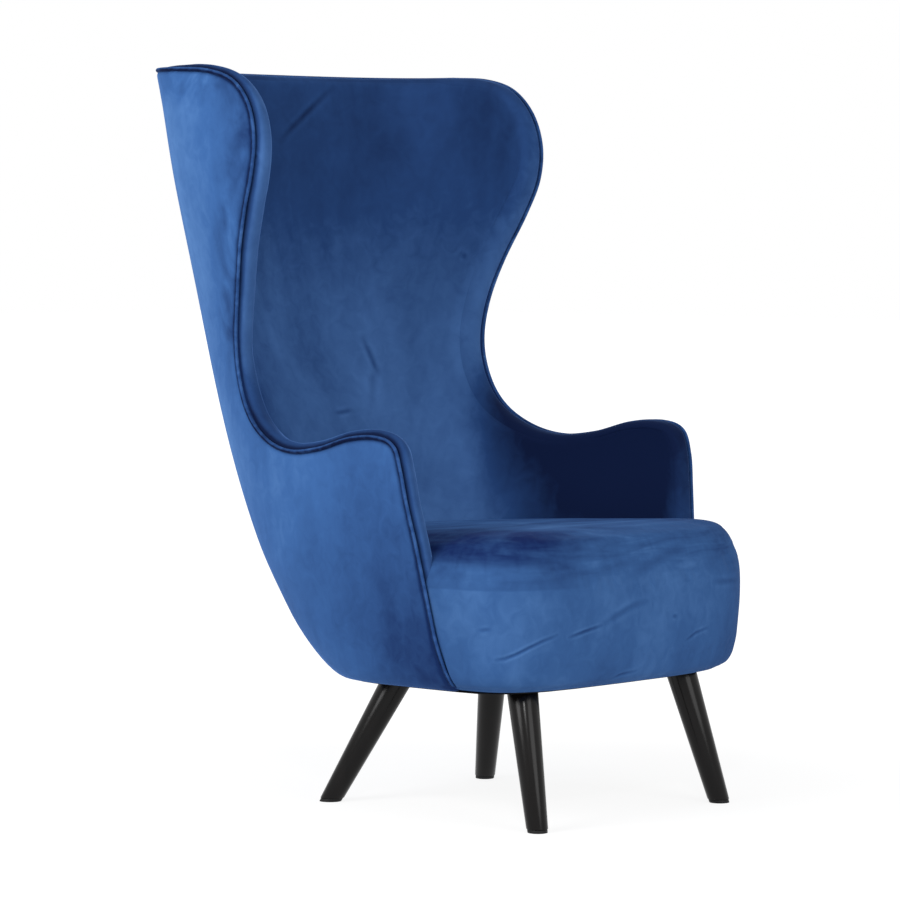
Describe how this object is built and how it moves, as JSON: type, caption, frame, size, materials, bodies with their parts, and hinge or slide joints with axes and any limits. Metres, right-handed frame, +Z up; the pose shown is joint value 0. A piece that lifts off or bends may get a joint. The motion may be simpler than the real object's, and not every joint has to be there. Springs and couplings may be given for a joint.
{
  "type": "wing armchair",
  "caption": "High-back wing armchair: a padded tub of back, wings and low arms in one sweep, a tight bow-front seat and splayed tapered legs.",
  "frame": {"origin": "on the floor, under the middle of the chair in width and in depth", "axes": "+Z up, the chair faces -Y, X is its width and +X is at the left hand of a person who sits in it"},
  "size_m": [0.7764, 0.94, 1.296],
  "materials": {
    "velvet": "blue velvet, soft pile",
    "piping": "blue velvet cord",
    "shell": "moulded, matt",
    "timber": "planed, raw",
    "leg": "black stain, satin",
    "steel": "zinc plated",
    "glide": "matt",
    "felt": "needled felt",
    "dust_cloth": "thin non-woven cloth"
  },
  "bodies": {
    "root": {"outer_cover": "velvet", "inner_pad": "velvet", "edge_band": "velvet", "seat_cushion": "velvet", "edge_piping": "piping", "tub_shell": "shell", "front_rail": "timber", "left_rail": "timber", "right_rail": "timber", "rear_rail": "timber", "leg_block_front_left": "timber", "leg_front_left": "leg", "glide_front_left": "glide", "leg_plate_front_left": "steel", "hanger_bolt_front_left": "steel", "leg_block_front_right": "timber", "leg_front_right": "leg", "glide_front_right": "glide", "leg_plate_front_right": "steel", "hanger_bolt_front_right": "steel", "leg_block_rear_left": "timber", "leg_rear_left": "leg", "glide_rear_left": "glide", "leg_plate_rear_left": "steel", "hanger_bolt_rear_left": "steel", "leg_block_rear_right": "timber", "leg_rear_right": "leg", "glide_rear_right": "glide", "leg_plate_rear_right": "steel", "hanger_bolt_rear_right": "steel", "seat_spring_1": "steel", "spring_clip_front_1": "steel", "spring_clip_rear_1": "steel", "seat_spring_2": "steel", "spring_clip_front_2": "steel", "spring_clip_rear_2": "steel", "seat_spring_3": "steel", "spring_clip_front_3": "steel", "spring_clip_rear_3": "steel", "seat_spring_4": "steel", "spring_clip_front_4": "steel", "spring_clip_rear_4": "steel", "seat_spring_5": "steel", "spring_clip_front_5": "steel", "spring_clip_rear_5": "steel", "seat_insulator": "felt", "dust_cover": "dust_cloth"}
  },
  "joints": []
}
